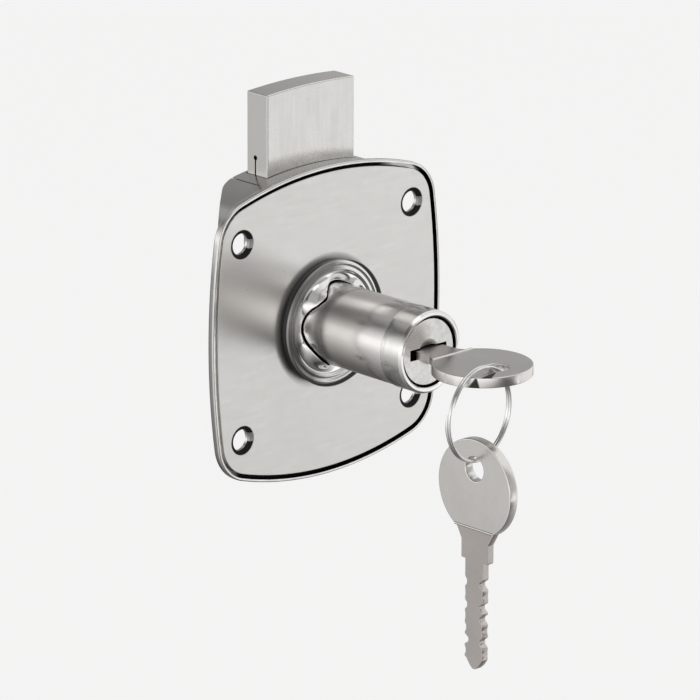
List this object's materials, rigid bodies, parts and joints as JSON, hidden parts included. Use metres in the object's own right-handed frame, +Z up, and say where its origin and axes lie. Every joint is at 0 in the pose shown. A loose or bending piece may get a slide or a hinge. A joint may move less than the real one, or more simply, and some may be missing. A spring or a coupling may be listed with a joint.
{
  "type": "cabinet lock",
  "caption": "Round cylinder lock on a bowed steel plate; turning the key draws in a flat square bolt; a spare key hangs from a wire ring on the key in the lock.",
  "frame": {"origin": "middle of the screw hole rectangle, where the axis of the cylinder meets the front face of the plate", "axes": "+X to the right seen from the front, -Y along the barrel towards the user, +Z up along the throw of the bolt"},
  "size_m": [0.0754, 0.0861, 0.1305],
  "materials": {
    "plate_steel": "satin nickel plated sheet steel",
    "cover_steel": "satin nickel plated sheet steel",
    "collar_chrome": "mirror polished nickel plate",
    "barrel_chrome": "smooth satin nickel plate",
    "body_zinc": "plain zinc die casting",
    "rivet_steel": "plain steel",
    "plug_nickel": "satin nickel plate, turned face",
    "clip_steel": "blued spring steel",
    "wafer_brass": "stamped brass",
    "spring_steel": "spring steel wire",
    "zinc_plated_steel": "bright zinc plate",
    "bolt_nickel": "satin nickel plated steel",
    "case_steel": "zinc plated sheet steel",
    "key_nickel": "satin nickel plated key",
    "ring_steel": "bright nickel plated wire"
  },
  "bodies": {
    "case": {"front_plate": "plate_steel", "back_cover": "cover_steel", "collar": "collar_chrome", "barrel_sleeve": "barrel_chrome", "front_cap": "barrel_chrome", "cylinder_body": "body_zinc", "cylinder_rivets": "rivet_steel", "bolt_case": "case_steel", "case_rivets": "rivet_steel", "bolt_guides": "case_steel", "guide_stump": "rivet_steel"},
    "core": {"plug": "plug_nickel", "plug_clip": "clip_steel", "wafer_springs": "spring_steel", "cam": "zinc_plated_steel", "cam_washer": "zinc_plated_steel", "cam_screw": "zinc_plated_steel", "drive_pin": "rivet_steel"},
    "bolt": {"bolt": "bolt_nickel"},
    "key": {"key": "key_nickel"},
    "right_tumblers": {"wafers_right": "wafer_brass"},
    "left_tumblers": {"wafers_left": "wafer_brass"},
    "ring": {"split_ring": "ring_steel"},
    "spare_key": {"spare_key": "key_nickel"}
  },
  "joints": [
    {"name": "plug_turn", "type": "hinge", "parent": "case", "child": "core", "pos_m": [0, 0, 0], "axis": [0, 1, 0], "range_deg": [0, 180]},
    {"name": "bolt_slide", "type": "slide", "parent": "case", "child": "bolt", "axis": [0, 0, -1], "range_m": [0, 0.0205]},
    {"name": "key_slide", "type": "slide", "parent": "core", "child": "key", "axis": [0, -1, 0], "range_m": [0, 0.06]},
    {"name": "right_tumbler_slide", "type": "slide", "parent": "core", "child": "right_tumblers", "axis": [1, 0, 0], "range_m": [0, 0.0009]},
    {"name": "left_tumbler_slide", "type": "slide", "parent": "core", "child": "left_tumblers", "axis": [-1, 0, 0], "range_m": [0, 0.0009]},
    {"name": "ring_swing", "type": "hinge", "parent": "key", "child": "ring", "pos_m": [0, -0.0582, 0], "axis": [1, 0, 0], "range_deg": [-10, 10]},
    {"name": "spare_key_swing", "type": "hinge", "parent": "ring", "child": "spare_key", "pos_m": [-0.00655, -0.05899, -0.02], "axis": [1, 0, 0], "range_deg": [-15, 15]}
  ],
  "couplings": [
    {"joint": "bolt_slide", "follows": "plug_turn", "m_per_rad": 0.006525},
    {"joint": "right_tumbler_slide", "follows": "key_slide", "ratio": 0.015},
    {"joint": "left_tumbler_slide", "follows": "key_slide", "ratio": 0.015}
  ]
}
